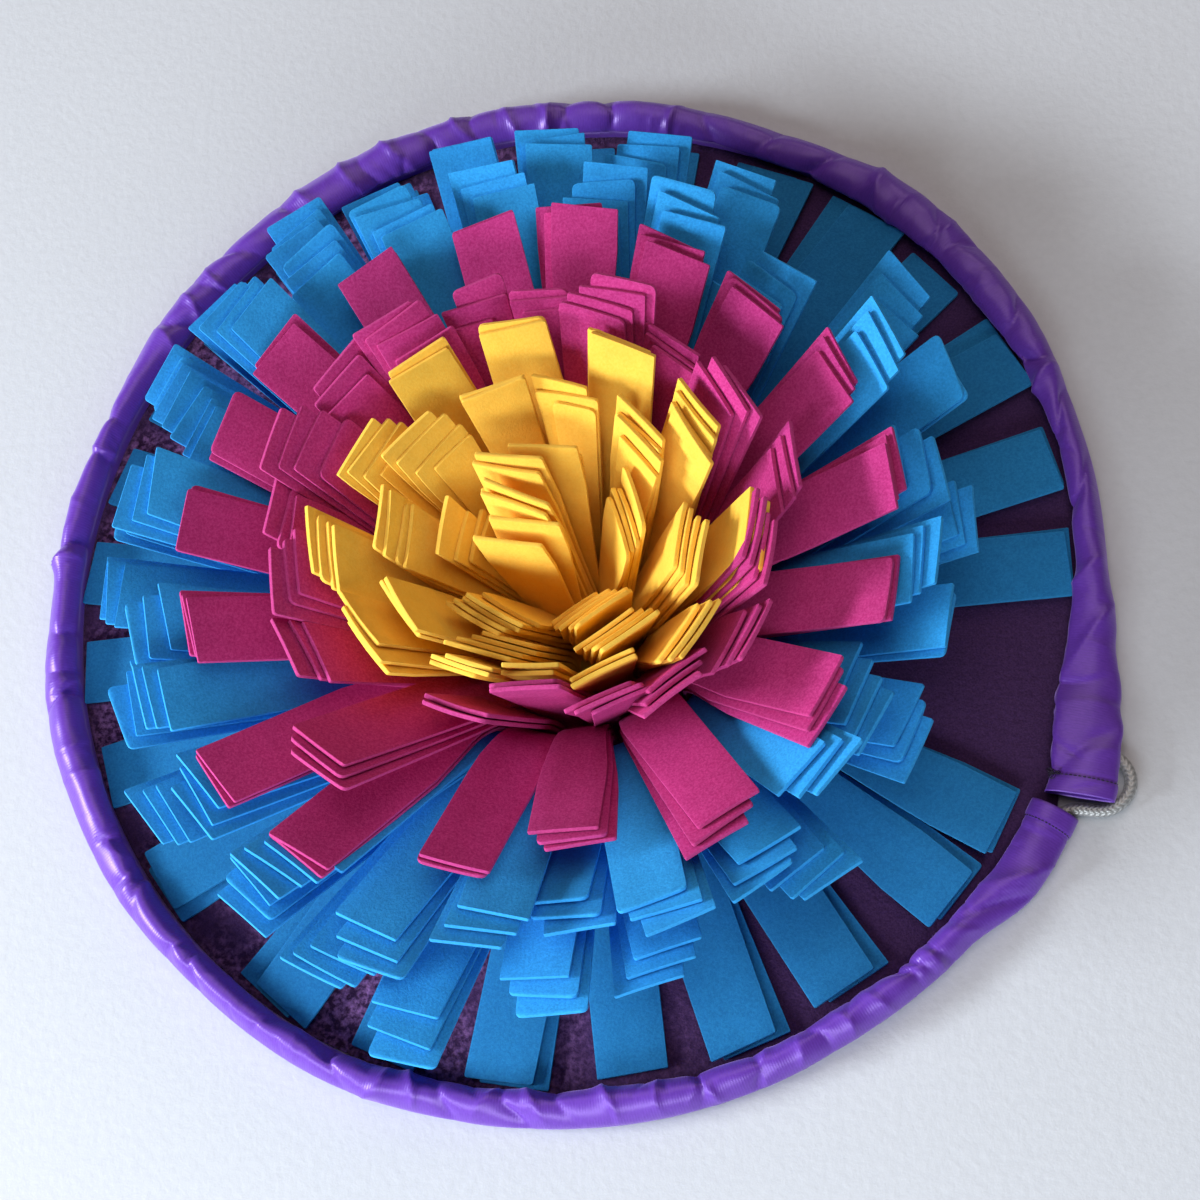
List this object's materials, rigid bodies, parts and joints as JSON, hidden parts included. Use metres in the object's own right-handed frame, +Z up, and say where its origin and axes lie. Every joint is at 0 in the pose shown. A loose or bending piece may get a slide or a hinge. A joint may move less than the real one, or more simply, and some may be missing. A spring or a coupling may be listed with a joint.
{
  "type": "snuffle mat",
  "caption": "Round felt snuffle mat for pets: a flower of blue, magenta and yellow felt strips on a purple felt base, with a gathered satin rim and a drawstring.",
  "frame": {"origin": "centre of the round mat, on its flat underside", "axes": "+Z up out of the mat, +Y towards the top of the picture, +X to its right"},
  "size_m": [0.4485, 0.4476, 0.0834],
  "materials": {
    "base_felt": "brushed felt",
    "purple_satin": "satin",
    "silver_cord": "braided",
    "blue_felt": "felt",
    "magenta_felt": "felt",
    "yellow_felt": "felt"
  },
  "bodies": {
    "root": {"base_felt": "base_felt", "rim_casing": "purple_satin", "drawstring": "silver_cord", "fringe_blue_flat": "blue_felt", "fringe_blue_lower": "blue_felt", "fringe_blue_upper": "blue_felt", "fringe_magenta_outer": "magenta_felt", "fringe_magenta_inner": "magenta_felt", "fringe_yellow_outer": "yellow_felt", "fringe_yellow_middle": "yellow_felt", "fringe_yellow_heart": "yellow_felt", "fringe_yellow_core": "yellow_felt"}
  },
  "joints": []
}
